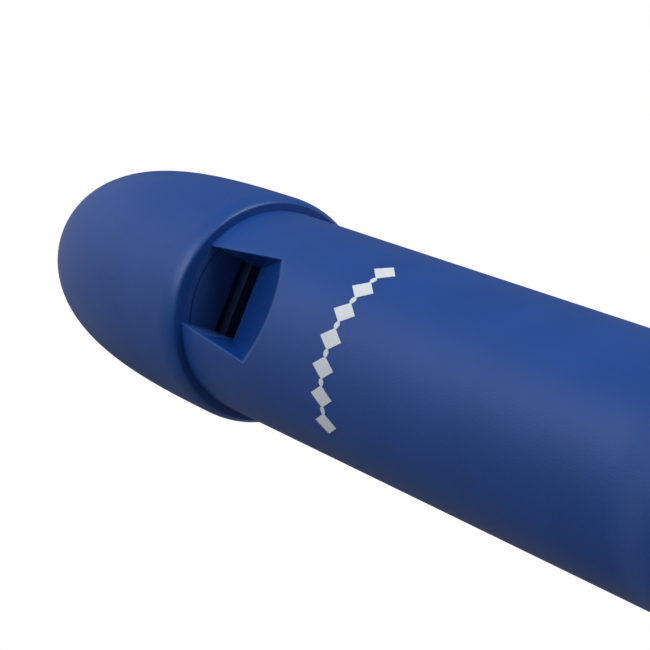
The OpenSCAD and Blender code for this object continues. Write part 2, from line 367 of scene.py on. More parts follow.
class Wall:
    """A turned surface over rows of heights, in which blocks of the grid can be opened round holes."""

    def __init__(self, radius_at, rows, inward=False):
        self.radius_at = radius_at
        self.rows = np.asarray(rows, float)
        self.side = -1 if inward else 1
        self.blocks = []

    def at(self, z, angle):
        return turned(self.radius_at(z), z, angle)

    def normal(self, z, angle):
        step = 0.01
        lean = (self.radius_at(z - step) - self.radius_at(z + step)) / (2 * step)
        out = turned(np.ones_like(z), lean, angle)
        return self.side * unit(out)

    def open(self, middle, half, low, high, loops=(), notch=None):
        """Opens the columns within half of the middle column, between two heights of the rows."""
        first = int(np.argmin(abs(self.rows - low)))
        last = int(np.argmin(abs(self.rows - high)))
        self.blocks.append((middle - half, middle + half, first, last, [np.asarray(p) for p in loops], notch))

    def build(self, shell):
        z, angle = np.meshgrid(self.rows, column_angles(), indexing="ij")
        opened = np.zeros((len(self.rows) - 1, COLUMNS), bool)
        for first, last, low, high, _, _ in self.blocks:
            opened[low:high, np.arange(first, last) % COLUMNS] = True
        row, column = np.nonzero(~opened)
        after = (column + 1) % COLUMNS
        faces = np.stack([row * COLUMNS + column, row * COLUMNS + after,
                          (row + 1) * COLUMNS + after, (row + 1) * COLUMNS + column], -1)
        shell.add(self.at(z, angle), self.normal(z, angle), faces)
        for block in self.blocks:
            self.fill(shell, *block)

    def fill(self, shell, first, last, low, high, loops, notch):
        angles = column_angles(first, last)
        middle = angles.mean()
        rows = self.rows[low : high + 1]
        scale = float(self.radius_at(rows.mean()))

        def charted(points):
            turn = np.arctan2(points[:, 0], -points[:, 1]) - middle
            turn = (turn + math.pi) % (2 * math.pi) - math.pi
            places = stacked(turn * scale, points[:, 2])
            return places, points, self.normal(points[:, 2], turn + middle)

        top = self.at(np.full(len(angles), rows[-1]), angles)[::-1]
        if notch is not None:
            reach = abs(charted(notch[:1])[0][0, 0])
            places = charted(top)[0][:, 0]
            top = np.concatenate([top[places > reach + 0.05], notch, top[places < -reach - 0.05]])
        bottom = self.at(np.full(len(angles), rows[0]), angles)
        right = self.at(rows[1:-1], np.full(len(rows) - 2, angles[-1]))
        left = self.at(rows[1:-1], np.full(len(rows) - 2, angles[0]))[::-1]
        outline = charted(np.concatenate([bottom, right, top, left]))
        holes = [charted(loop) for loop in loops]
        z, angle = np.meshgrid(rows[1:-1], angles[1:-1], indexing="ij")
        inner = self.at(z, angle).reshape(-1, 3)
        near = np.concatenate(loops if notch is None else [outline[1], *loops])
        shell.patch([outline, *holes], clear(charted, inner, [outline, *holes], near, 0.3))


def bend(shell, start, corner, end, start_normals, end_normals, steps=6, closed=False):
    """A rounded edge: rows of points that leave start, lean towards corner and arrive at end."""
    share = np.linspace(0, 1, steps + 1)[:, None, None]
    rows = (1 - share) ** 2 * start + 2 * share * (1 - share) * corner + share**2 * end
    start_normals = np.broadcast_to(start_normals, start.shape)
    end_normals = np.broadcast_to(end_normals, end.shape)
    normals = (1 - share) * start_normals + share * end_normals
    wear_and_highlight = np.ones(steps + 1)
    wear_and_highlight[[0, -1]] = 0
    shell.grid(rows, normals, wear_and_highlight, closed)
    return rows


# ---------------------------------------------------------------- tubes with finger holes


def finger_hole(shell, outer, bore, x, z, diameter, side, count=44):
    """A hole straight through one wall, rounded outside. side is -1 at the front, 1 at the back."""
    around = 2 * math.pi * np.arange(count) / count
    cos, sin = np.cos(around), np.sin(around)
    inward = stacked(-cos, 0 * cos, -sin)
    rows = []
    normals = []
    turns = np.radians(np.linspace(0, 90, 7))
    for a in turns:
        reach = diameter / 2 + HOLE_ROUND * (1 - math.sin(a))
        px = x + reach * cos
        pz = z + reach * sin
        radius = outer.radius_at(pz)
        depth = np.sqrt(radius**2 - px**2)
        rows.append(stacked(px, side * (depth - HOLE_ROUND * (1 - math.cos(a))), pz))
        outward = stacked(px / radius, side * depth / radius, 0 * px)
        normals.append(math.cos(a) * outward + math.sin(a) * inward)
    wear_and_highlight = np.ones(len(turns))
    wear_and_highlight[[0, -1]] = 0
    shell.grid(rows, normals, wear_and_highlight, closed=True)
    px = x + diameter / 2 * cos
    pz = z + diameter / 2 * sin
    end = stacked(px, side * np.sqrt(bore.radius_at(pz) ** 2 - px**2), pz)
    shell.grid([rows[-1], end], inward, closed=True)
    return rows[0], end


def pierce(shell, outer, bore, z, holes, side, columns, reach):
    """Opens both walls round one or two holes at a height.

    columns are the counts opened on each side of the middle, in the outer wall and in the bore.
    """
    outer_loops = []
    bore_loops = []
    for x, diameter in holes:
        outside, inside = finger_hole(shell, outer, bore, x, z, diameter, side)
        outer_loops.append(outside)
        bore_loops.append(inside)
    middle = FRONT_COLUMN if side < 0 else 0
    outer.open(middle, columns[0], z - reach, z + reach, outer_loops)
    bore.open(middle, columns[1], z - reach, z + reach, bore_loops)


def rows_round(low, high, heights, reach, gap=7.0):
    """Heights from low to high, close together round each hole and at most a gap apart elsewhere."""
    marks = {low, high}
    for z in heights:
        marks |= set(np.linspace(z - reach, z + reach, 9).tolist())
    marks = sorted(marks)
    rows = [marks[0]]
    for mark in marks[1:]:
        rows += np.linspace(rows[-1], mark, max(1, math.ceil((mark - rows[-1]) / gap)) + 1)[1:].tolist()
    return rows


def middle_r(z):
    return MIDDLE_LOW_R + (MIDDLE_TOP_R - MIDDLE_LOW_R) * (z - MIDDLE_Z) / (HEAD_Z - MIDDLE_Z)


def middle_bore_r(z):
    share = (z - middle_low[2]) / (middle_high[2] - middle_low[2])
    return MIDDLE_BORE_LOW_R + (BORE_R - MIDDLE_BORE_LOW_R) * share


def groove(lip_r, core_r, cork_low, cork_high):
    """Corners of the groove that a cork sits in."""
    low, high = cork_low[2] - CORK_END_GAP, cork_high[2] + CORK_END_GAP
    return [(lip_r, low, 0.1), (core_r, low), (core_r, high), (lip_r, high, 0.1)]


def middle_tube():
    shell = Shell()
    low, top = middle_low[2], middle_high[2]
    plain_low, plain_high = MIDDLE_Z + 0.4, HEAD_Z - 10
    reach = 4.0
    single, pair = (7, 10), (11, 19)
    fronts = [EDGE_Z - below for below, _ in SINGLE_HOLES]
    double = EDGE_Z - DOUBLE_BELOW_EDGE
    thumb = EDGE_Z - THUMB_HOLE[0]
    heights = fronts + [double, thumb]
    outer = Wall(middle_r, rows_round(plain_low, plain_high, heights, reach))
    bore = Wall(middle_bore_r, rows_round(low, top, heights, reach), inward=True)
    for z, (_, diameter) in zip(fronts, SINGLE_HOLES):
        pierce(shell, outer, bore, z, [(0, diameter)], -1, single, reach)
    pierce(shell, outer, bore, thumb, [(0, THUMB_HOLE[1])], 1, single, reach)
    pierce(shell, outer, bore, double, DOUBLE_HOLES, -1, pair, reach)
    outer.build(shell)
    bore.build(shell)
    lathe(shell, [
        (MIDDLE_BORE_LOW_R, low),
        (LOWER_LIP_R, low, 0.4),
        *groove(LOWER_LIP_R, LOWER_CORE_R, lower_cork_low, lower_cork_high),
        (LOWER_LIP_R, MIDDLE_Z),
        (MIDDLE_LOW_R, MIDDLE_Z, 0.35),
        (middle_r(plain_low), plain_low),
    ])
    ring_r = MIDDLE_TOP_R + 0.9
    lathe(shell, [
        (middle_r(plain_high), plain_high),
        *s_curve((middle_r(plain_high + 1), plain_high + 1), (ring_r, HEAD_Z - 5)),
        (ring_r, HEAD_Z, 0.5),
        (UPPER_LIP_R, HEAD_Z),
        *groove(UPPER_LIP_R, UPPER_CORE_R, upper_cork_low, upper_cork_high),
        (UPPER_LIP_R, top, 0.5),
        (BORE_R, top),
    ])
    return shell.piece("middle_tube_shell")


def foot_bore_r(z):
    rise = (z - FOOT_BORE_LENGTH) / (middle_low[2] - SOCKET_END_GAP - FOOT_BORE_LENGTH)
    return FOOT_BORE_R + (MIDDLE_BORE_LOW_R - FOOT_BORE_R) * np.maximum(rise, 0)


def foot_tube():
    shell = Shell()
    bell_top, waist_low, waist_high = 4.2, 17, 24
    neck_r, neck_low, neck_high = FOOT_WAIST_R + 0.3, 34.0, 43.5
    socket_low = middle_low[2] - SOCKET_END_GAP
    hole = EDGE_Z - FOOT_HOLE_BELOW_EDGE
    reach = 3.2
    outer = Wall(lambda z: neck_r + 0 * z, rows_round(neck_low, neck_high, [hole], reach))
    bore = Wall(foot_bore_r, rows_round(FOOT_BORE_LENGTH, socket_low, [hole], reach), inward=True)
    pierce(shell, outer, bore, hole, DOUBLE_HOLES, -1, (11, 20), reach)
    outer.build(shell)
    bore.build(shell)
    lathe(shell, [
        (FOOT_BORE_R, FOOT_BORE_LENGTH),
        (FOOT_BORE_R, 0, 0.8),
        (FOOT_BELL_R, 0, 1.2),
        (FOOT_BELL_R, bell_top, 1.2),
        *s_curve((FOOT_BELL_R - 0.9, bell_top + 0.5), (FOOT_WAIST_R, waist_low)),
        *s_curve((FOOT_WAIST_R, waist_high), (neck_r, neck_low)),
    ])
    cup_low = MIDDLE_Z - 11
    bead_r, bead_half, bead_z = 0.6, 0.75, MIDDLE_Z - 2.7
    turns = np.radians(np.arange(-75, 76, 15))
    bead = [(FOOT_SOCKET_R + bead_r * math.cos(a), bead_z + bead_r * math.sin(a)) for a in turns]
    lathe(shell, [
        *s_curve((neck_r, neck_high), (FOOT_SOCKET_R, cup_low)),
        (FOOT_SOCKET_R, bead_z - bead_half, 0.15),
        *bead,
        (FOOT_SOCKET_R, bead_z + bead_half, 0.15),
        (FOOT_SOCKET_R, MIDDLE_Z, 0.5),
        (LOWER_SOCKET_R, MIDDLE_Z, 0.5),
        (LOWER_SOCKET_R, socket_low),
        (MIDDLE_BORE_LOW_R, socket_low),
    ])
    return shell.piece("foot_tube_shell")


# ---------------------------------------------------------------- head tube with its window


def solve(gap, low, high):
    """The value between low and high at which gap changes sign."""
    rising = gap(high) > 0
    for _ in range(60):
        middle = (low + high) / 2
        if (gap(middle) > 0) == rising:
            high = middle
        else:
            low = middle
    return (low + high) / 2


def ramp_front(down):
    return EDGE_FRONT + RAMP_SLOPE * np.maximum(down - CUT_UP, 0)


def window_half(down):
    return WINDOW_HALF + WINDOW_FLARE * np.maximum(down, 0)


def window_front(down):
    return np.sqrt(HEAD_R**2 - window_half(down) ** 2)


CORNER_DOWN = solve(lambda down: ramp_front(down) - window_front(down), CUT_UP, 20.0)
ROUND_DOWN = solve(lambda down: ramp_front(down) - window_front(down) + WINDOW_ROUND, CUT_UP, 20.0)
RAMP_FLARE = (window_half(CORNER_DOWN) - WINDWAY_HALF) / (CORNER_DOWN - CUT_UP)
RAMP_NORMAL = np.array([0, -1, RAMP_SLOPE])


def ramp_half(down):
    return WINDWAY_HALF + RAMP_FLARE * np.maximum(down - CUT_UP, 0)


def wall_x(front, down):
    """Half the width between the window's side walls, ruled from the ramp's side to the window's edge."""
    low, high = ramp_front(down), window_front(down)
    share = np.clip((front - low) / np.maximum(high - low, 1e-6), 0, 1)
    return ramp_half(down) + (window_half(down) - ramp_half(down)) * share


def wall_normal(points):
    """Normal of the wall on the +X side, looking into the window."""
    step = 0.001
    front, down = -points[:, 1], RIM_Z - points[:, 2]
    by_front = (wall_x(front + step, down) - wall_x(front - step, down)) / (2 * step)
    by_down = (wall_x(front, down + step) - wall_x(front, down - step)) / (2 * step)
    return unit(-stacked(np.ones_like(front), by_front, by_down))


def on_wall(front, down):
    front, down = np.broadcast_arrays(np.asarray(front, float), np.asarray(down, float))
    return spot(wall_x(front, down), front, down)


def radial(points):
    return unit(points * np.array([1, 1, 0]))


def window_edge():
    """Right half of the window's sharp outline, then its rounding's lines on the tube and in the window."""
    down = CORNER_DOWN * np.linspace(0, 1, 13)
    sharp_side = spot(window_half(down), window_front(down), down)
    x = window_half(CORNER_DOWN) * np.cos(np.linspace(0, math.pi / 2, 15))
    front = np.sqrt(HEAD_R**2 - x**2)
    end_down = CUT_UP + (front - EDGE_FRONT) / RAMP_SLOPE
    sharp_end = spot(x, front, end_down)
    sharp = joined(sharp_side, sharp_end, way_back(sharp_end))
    places = stacked(HEAD_R * np.arctan2(sharp[:, 0], -sharp[:, 1]), RIM_Z - sharp[:, 2])
    way = unit(np.diff(places, axis=0))
    out = stacked(way[:, 1], -way[:, 0])
    bisector = unit(np.concatenate([[[1, 0]], out[:-1] + out[1:], out[-1:]]))
    cosine = (bisector[1:] * out).sum(1)
    reach = WINDOW_ROUND / np.concatenate([[1], np.minimum(cosine, 1)])
    places = places + bisector * reach[:, None]
    outer = turned(HEAD_R, RIM_Z - places[:, 1], places[:, 0] / HEAD_R)
    count = len(sharp_side)
    inner_down = down * ROUND_DOWN / CORNER_DOWN
    inner_side = on_wall(window_front(inner_down) - WINDOW_ROUND, inner_down)
    inner_x = x * ramp_half(ROUND_DOWN) / x[0]
    end_down = end_down - (CORNER_DOWN - ROUND_DOWN)
    inner_end = spot(inner_x, ramp_front(end_down), end_down)
    outer_side = outer[:count]
    outer_end = outer[count - 1 : count - 1 + len(x)]
    return (outer_side, sharp_side, inner_side), (outer_end, sharp_end, inner_end)


def air_edge(shell, end):
    """The edge that splits the air, the ramp below it, its front face and its underside.

    end is the window's rounding on the ramp. Returns the right-hand lines of the edge and the ramp,
    the line down the front face's side to the bore, and the line along the bore.
    """
    edge_down = CUT_UP + EDGE_ROUND
    spread = np.linspace(-1, 1, 9)
    ramp_line = spot(ramp_half(edge_down) * spread, ramp_front(edge_down), edge_down)
    sharp_line = spot(WINDWAY_HALF * spread, EDGE_FRONT, CUT_UP)
    face_line = spot(WINDWAY_HALF * spread, EDGE_FRONT - EDGE_ROUND, CUT_UP)
    edge_side = bend(shell, ramp_line, sharp_line, face_line, RAMP_NORMAL, (0, 0, 1))[:, -1]
    ramp_down = np.array([ROUND_DOWN, edge_down])
    ramp_side = spot(ramp_half(ramp_down), ramp_front(ramp_down), ramp_down)
    shell.flat([joined(ramp_line, ramp_side[::-1], whole(end), mirrored(ramp_side))], RAMP_NORMAL)
    underside = EDGE_FRONT - EDGE_THICKNESS
    under_half = math.sqrt(BORE_R**2 - underside**2)
    face_side = spot(WINDWAY_HALF, [EDGE_FRONT - EDGE_ROUND, BORE_FRONT], CUT_UP)
    arc_x = np.linspace(WINDWAY_HALF, under_half, 5)
    face_arc = spot(arc_x, np.sqrt(BORE_R**2 - arc_x**2), CUT_UP)
    face_low = spot(under_half * spread[::-1], underside, CUT_UP)
    far_arc, far_side = way_back(face_arc), way_back(face_side)
    shell.flat([joined(face_line, face_side, face_arc, face_low, far_arc, far_side)], (0, 0, 1))
    under_slope = (BORE_R - underside) / UNDERSIDE_LENGTH
    curve_x = np.linspace(under_half, 0, 13)
    curve_front = np.sqrt(BORE_R**2 - curve_x**2)
    curve = spot(curve_x, curve_front, CUT_UP + (curve_front - underside) / under_slope)
    shell.flat([joined(face_low[::-1], whole(curve))], (0, 1, -under_slope))
    return joined(ramp_side, edge_side), face_side, joined(face_arc, curve)


def windway_roof_and_spigot(shell, lip, end_side, roof_side):
    """The roof of the windway, the face that it ends in, the shoulder under the cap's rim, and the spigot."""
    shell.flat([whole(roof_side)], (0, 1, 0))
    spigot_turn = math.atan2(end_side[-1, 0], -end_side[-1, 1])
    angles = np.array(sorted([*column_angles(), spigot_turn, -spigot_turn]))
    between = abs(angles) < spigot_turn + 1e-6
    arc = turned(SPIGOT_R, RIM_Z, angles[between])
    shell.flat([joined(way_back(end_side), end_side, arc[::-1])], (0, 0, -1))
    rim = round_back(column_angles(), math.atan2(lip[0, 0], -lip[0, 1]) + 0.05 / HEAD_R)
    beyond = round_back(angles, spigot_turn - 1e-6)
    outside, inside = turned(HEAD_R, RIM_Z, rim), turned(SPIGOT_R, RIM_Z, beyond[::-1])
    shell.flat([joined(lip[::-1], outside, mirrored(lip), inside)], (0, 0, 1))

    # The spigot, with the bore and the windway open at its top
    top_r = SPIGOT_R - 0.5
    lathe(shell, [(SPIGOT_R, RIM_Z), (SPIGOT_R, SPIGOT_TOP, 0.3), (top_r, SPIGOT_TOP)], angles)
    top_ring = turned(top_r, SPIGOT_TOP, angles)
    bore_ring = round_back(column_angles(), math.atan2(WINDWAY_HALF, BORE_FRONT) + 0.05 / BORE_R)
    corner = joined(roof_side[:1], spot(WINDWAY_HALF, BORE_FRONT, [RIM_Z - SPIGOT_TOP]))
    opening = joined(corner, turned(BORE_R, SPIGOT_TOP, bore_ring), way_back(corner))
    shell.flat([top_ring, opening], (0, 0, 1))


def head_tube():
    shell = Shell()
    socket_top = middle_high[2] + SOCKET_END_GAP
    ring_top = HEAD_Z + 8
    plain_low = HEAD_Z + 15
    lathe(shell, [
        (BORE_R, socket_top),
        (UPPER_SOCKET_R, socket_top),
        (UPPER_SOCKET_R, HEAD_Z, 0.5),
        (HEAD_RING_R, HEAD_Z, 0.8),
        (HEAD_RING_R, ring_top, 0.6),
        *s_curve((HEAD_RING_R - 0.7, ring_top), (HEAD_R, plain_low)),
    ])

    # The window's rounded edge, mirrored for the other side
    side, end = window_edge()
    side_normals = wall_normal(side[2])
    lip = bend(shell, *side, radial(side[0]), side_normals)[:, 0]
    bend(shell, *end, radial(end[0]), RAMP_NORMAL)
    far = [mirrored(p) for p in side]
    bend(shell, *far, radial(far[0]), mirrored(side_normals))
    far = [mirrored(p) for p in end]
    bend(shell, *far, radial(far[0]), RAMP_NORMAL)

    # The outer wall, open to the window
    window_low = RIM_Z - 20
    outer_rows = [*np.linspace(plain_low, window_low, 9), *np.arange(window_low + 1, RIM_Z + 0.5)]
    outer = Wall(lambda z: HEAD_R + 0 * z, outer_rows)
    outer.open(FRONT_COLUMN, 9, window_low, RIM_Z, notch=whole(joined(side[0], end[0])))
    outer.build(shell)

    # The bore, open to the window and the windway
    edge_side, face_side, edge_bore = air_edge(shell, end[2])
    top_down = RIM_Z - SPIGOT_TOP
    side_down = [*np.linspace(top_down, 0, 5), *np.linspace(0, CUT_UP, 4)[1:]]
    bore_side = spot(WINDWAY_HALF, BORE_FRONT, side_down)
    bore_low_z = RIM_Z - 16
    bore_rows = [*np.linspace(socket_top, bore_low_z, 8), *np.linspace(bore_low_z, SPIGOT_TOP, 17)[1:]]
    bore = Wall(lambda z: BORE_R + 0 * z, bore_rows, inward=True)
    bore.open(FRONT_COLUMN, 12, bore_low_z, SPIGOT_TOP, notch=whole(joined(bore_side, edge_bore)))
    bore.build(shell)

    # Side walls of the window and the windway
    spigot_half = solve(lambda x: x - wall_x(math.sqrt(SPIGOT_R**2 - x**2), 0.0), 3.0, 6.0)
    spigot_front = math.sqrt(SPIGOT_R**2 - spigot_half**2)
    roof_side = spot(WINDWAY_HALF, WINDWAY_ROOF, [top_down, 0])
    end_side = on_wall([WINDWAY_ROOF, EDGE_FRONT, spigot_front], 0.0)
    outline = joined(side[2], edge_side, face_side, bore_side[::-1], roof_side, end_side)
    outline = (outline[:, 1:], outline, wall_normal(outline))
    shell.patch([outline])
    shell.patch([(outline[0], mirrored(outline[1]), mirrored(outline[2]))])

    windway_roof_and_spigot(shell, lip, end_side, roof_side)
    return shell.piece("head_tube_shell")


# ---------------------------------------------------------------- beak cap


def superellipse(share):
    return np.maximum(1 - share**DOME_POWER, 0) ** (1 / DOME_POWER)


def dome_r(height):
    return CAP_R * superellipse(height / BEAK_LENGTH)


def dome_z(radius):
    return RIM_Z + BEAK_LENGTH * superellipse(radius / CAP_R)


def dome_normal(points):
    radius = np.hypot(points[..., 0], points[..., 1])
    height = points[..., 2] - RIM_Z
    out = (radius / CAP_R) ** (DOME_POWER - 1) / CAP_R
    up = (np.maximum(height, 0) / BEAK_LENGTH) ** (DOME_POWER - 1) / BEAK_LENGTH
    scale = out / np.maximum(radius, 1e-9)
    return unit(stacked(points[..., 0] * scale, points[..., 1] * scale, up))


def onto_dome(points):
    """Nearby points moved onto the dome."""
    points = points.copy()
    for _ in range(12):
        radius = np.hypot(points[:, 0], points[:, 1])
        height = points[:, 2] - RIM_Z
        excess = (radius / CAP_R) ** DOME_POWER + (height / BEAK_LENGTH) ** DOME_POWER - 1
        out = DOME_POWER * (radius / CAP_R) ** (DOME_POWER - 1) / CAP_R
        up = DOME_POWER * (height / BEAK_LENGTH) ** (DOME_POWER - 1) / BEAK_LENGTH
        points -= dome_normal(points) * (excess / np.hypot(out, up))[:, None]
    return points


class DomeChart:
    """Lays the dome flat without changing angles, so that its triangles come out even."""

    def __init__(self):
        turn = np.linspace(0, math.pi / 2, 6001)[1:]
        radius = CAP_R * np.sin(turn) ** (2 / DOME_POWER)
        height = BEAK_LENGTH * np.maximum(np.cos(turn), 0) ** (2 / DOME_POWER)
        step = np.hypot(np.diff(radius), np.diff(height))
        self.length = np.concatenate([[0], np.cumsum(step)])
        growth = np.cumsum(step / ((radius[1:] + radius[:-1]) / 2))
        self.spread = radius[0] * np.exp(np.concatenate([[0], growth]))
        self.place = radius / CAP_R - height / BEAK_LENGTH
        self.radius = radius
        self.height = height

    def __call__(self, points):
        radius = np.hypot(points[:, 0], points[:, 1])
        spread = np.interp(radius / CAP_R - (points[:, 2] - RIM_Z) / BEAK_LENGTH, self.place, self.spread)
        spread = spread / self.spread[-1] / np.maximum(radius, 1e-9)
        return points[:, :2] * spread[:, None], points, dome_normal(points)

    def rings(self, height, gap):
        """Points all over the dome above a height, about a gap apart."""
        last = float(np.interp(-height, -self.height, self.length))
        rows = []
        for k, length in enumerate(np.arange(gap / 2, last, gap)):
            radius = float(np.interp(length, self.length, self.radius))
            z = RIM_Z + float(np.interp(length, self.length, self.height))
            count = max(6, round(2 * math.pi * radius / gap))
            rows.append(turned(radius, z, 2 * math.pi * (np.arange(count) + k % 2 / 2) / count))
        return np.concatenate(rows)


def hollow_y(z):
    return HOLLOW_Y - np.sqrt(HOLLOW_R**2 - (z - HOLLOW_Z) ** 2)


def hollow_normal(points):
    return unit(stacked(0 * points[:, 0], HOLLOW_Y - points[:, 1], HOLLOW_Z - points[:, 2]))


def onto_hollow(points):
    out = hollow_normal(points)
    moved = stacked(points[:, 0], HOLLOW_Y - HOLLOW_R * out[:, 1], HOLLOW_Z - HOLLOW_R * out[:, 2])
    return moved


def hollow_edge(count=81):
    """The closed line where the hollow meets the dome, at even steps."""
    low = solve(lambda h: dome_r(h) - hollow_y(RIM_Z + h), 4.0, 20.0)
    high = solve(lambda h: dome_r(h) - hollow_y(RIM_Z + h), 30.0, BEAK_LENGTH)
    height = (low + high) / 2 - (high - low) / 2 * np.cos(np.linspace(0, math.pi, 4001))
    y = hollow_y(RIM_Z + height)
    x = np.sqrt(np.maximum(dome_r(height) ** 2 - y**2, 0))
    line = stacked(x, y, RIM_Z + height)
    length = np.concatenate([[0], np.cumsum(np.linalg.norm(np.diff(line, axis=0), axis=1))])
    even = np.linspace(0, length[-1], count)
    half = np.stack([np.interp(even, length, line[:, k]) for k in range(3)], -1)
    half[[0, -1], 0] = 0
    return whole(half)


FLOOR_NORMAL = np.array([0.0, -1, 0])


def slot_section(z):
    """The windway's sides and roof at a height, from its right foot over to its left one."""
    half = WINDWAY_HALF + (MOUTH_HALF - WINDWAY_HALF) * max(z - SEAT_TOP, 0) / (TIP_Z + 1 - SEAT_TOP)
    roof = WINDWAY_ROOF + WINDWAY_RISE * (z - RIM_Z) / (TIP_Z + 1 - RIM_Z)
    side = np.linspace(WINDWAY_FLOOR, roof - SLOT_CORNER, 4)
    turn = np.linspace(0, math.pi / 2, 6)
    x = [*np.full(len(side), half), *(half - SLOT_CORNER + SLOT_CORNER * np.cos(turn))[1:]]
    front = [*side, *(roof - SLOT_CORNER + SLOT_CORNER * np.sin(turn))[1:]]
    across = np.linspace(x[-1], -x[-1], 11)[1:-1]
    x = np.array([*x, *across, *(-v for v in reversed(x))])
    front = np.array([*front, *np.full(len(across), roof), *reversed(front)])
    return x, front, half


def inward_2d(x, front):
    """Normals of an open line of a slot's section, looking into the slot."""
    way = unit(np.gradient(stacked(x, front), axis=0))
    return stacked(-way[:, 1], -way[:, 0], 0 * x)


def rim_lip(shell):
    """The dome's tuck towards its rim, a quarter of an ellipse in section."""
    turn = np.linspace(math.pi / 2, 0, 17)[:, None]
    height = RIM_HEIGHT * (1 - np.sin(turn))
    radius = dome_r(height) - RIM_TUCK * (1 - np.cos(turn))
    points = turned(radius, RIM_Z + height, column_angles())
    out = unit(turned(np.cos(turn) / RIM_TUCK, -np.sin(turn) / RIM_HEIGHT, column_angles()))
    # The wear value rises towards the lip's outer curve, where the material lightens it into a painted
    # highlight along the rim.
    shell.grid(points, out, wear_and_highlight=np.sin(turn[:, 0]) ** 2, closed=True)


def thumb_hollow(shell):
    """The hollow on the thumb side and its rounded edge; returns the edge's line on the dome."""
    edge = hollow_edge()
    dome_out, hollow_out = dome_normal(edge), hollow_normal(edge)
    meeting = (dome_out * hollow_out).sum(1, keepdims=True)
    outer = onto_dome(edge - BEAK_EDGE_ROUND * unit(hollow_out - meeting * dome_out))
    inner = onto_hollow(edge - BEAK_EDGE_ROUND * unit(dome_out - meeting * hollow_out))
    bend(shell, outer, edge, inner, dome_normal(outer), hollow_normal(inner), steps=8, closed=True)

    def hollow_chart(points):
        turn = np.arctan2(points[:, 2] - HOLLOW_Z, HOLLOW_Y - points[:, 1])
        return stacked(points[:, 0], HOLLOW_R * turn), points, hollow_normal(points)

    z, x = np.meshgrid(np.arange(inner[:, 2].min(), TIP_Z, 1.1), np.arange(-12.1, 12.2, 1.1), indexing="ij")
    fill = stacked(x, hollow_y(z), z).reshape(-1, 3)
    loops = [hollow_chart(inner)]
    shell.patch(loops, clear(hollow_chart, fill, loops, inner, 0.5))
    return outer


def windway_mouth(shell):
    """The windway's rounded mouth.

    Returns its line on the dome, the arch and the floor inside the rounding, and the arch's normals.
    """
    arch_x, arch_front, half = slot_section(dome_z(WINDWAY_FLOOR))
    floor_x = np.linspace(-half, half, 13)[1:-1]
    x = np.concatenate([arch_x, floor_x])
    front = np.concatenate([arch_front, np.full(len(floor_x), WINDWAY_FLOOR)])
    ring = stacked(x, front)
    way = unit(np.roll(ring, -1, 0) - ring)
    out = stacked(way[:, 1], -way[:, 0])
    bisector = unit(out + np.roll(out, 1, 0))
    grown = ring + bisector * (MOUTH_ROUND / (bisector * out).sum(1))[:, None]
    sharp = stacked(x, -front, dome_z(np.hypot(x, front)))
    outer_mouth = stacked(grown[:, 0], -grown[:, 1], dome_z(np.hypot(*grown.T)))
    inner_mouth = sharp - np.array([0, 0, MOUTH_ROUND * 1.3])
    arch = np.arange(len(arch_x))
    floor = np.array([len(arch_x) - 1, *range(len(arch_x), len(x)), 0])
    arch_in = inward_2d(arch_x, arch_front)
    for run, inside in ((arch, arch_in), (floor, FLOOR_NORMAL)):
        lip = outer_mouth[run]
        bend(shell, lip, sharp[run], inner_mouth[run], dome_normal(lip), inside)
    return outer_mouth, inner_mouth[arch], inner_mouth[floor], arch_in


def windway(shell, mouth_arch, mouth_floor, arch_in):
    """The windway from its mouth down to the spigot's socket.

    Returns its arches at the seat's top and the spigot's top, and its floor's end over the tongue.
    """
    arches = {}
    for z in (SEAT_TOP, SPIGOT_TOP):
        x, front, _ = slot_section(z)
        arches[z] = spot(x, front, RIM_Z - z)
    reach = np.minimum(TONGUE_TOP, mouth_arch[:, 2] - MOUTH_ROUND) - SEAT_TOP
    share = (reach / (mouth_arch[:, 2] - SEAT_TOP))[:, None]
    tongue_arch = arches[SEAT_TOP] + (mouth_arch - arches[SEAT_TOP]) * share
    shell.grid([mouth_arch, tongue_arch, arches[SEAT_TOP], arches[SPIGOT_TOP]], arch_in)
    floor_x = mouth_floor[1:-1, 0] * tongue_arch[0, 0] / mouth_arch[0, 0]
    floor_line = spot(floor_x, WINDWAY_FLOOR, RIM_Z - TONGUE_TOP)
    low_floor = np.concatenate([tongue_arch[-1:], floor_line, tongue_arch[:1]])
    shell.grid([mouth_floor, low_floor], FLOOR_NORMAL)
    return arches, low_floor


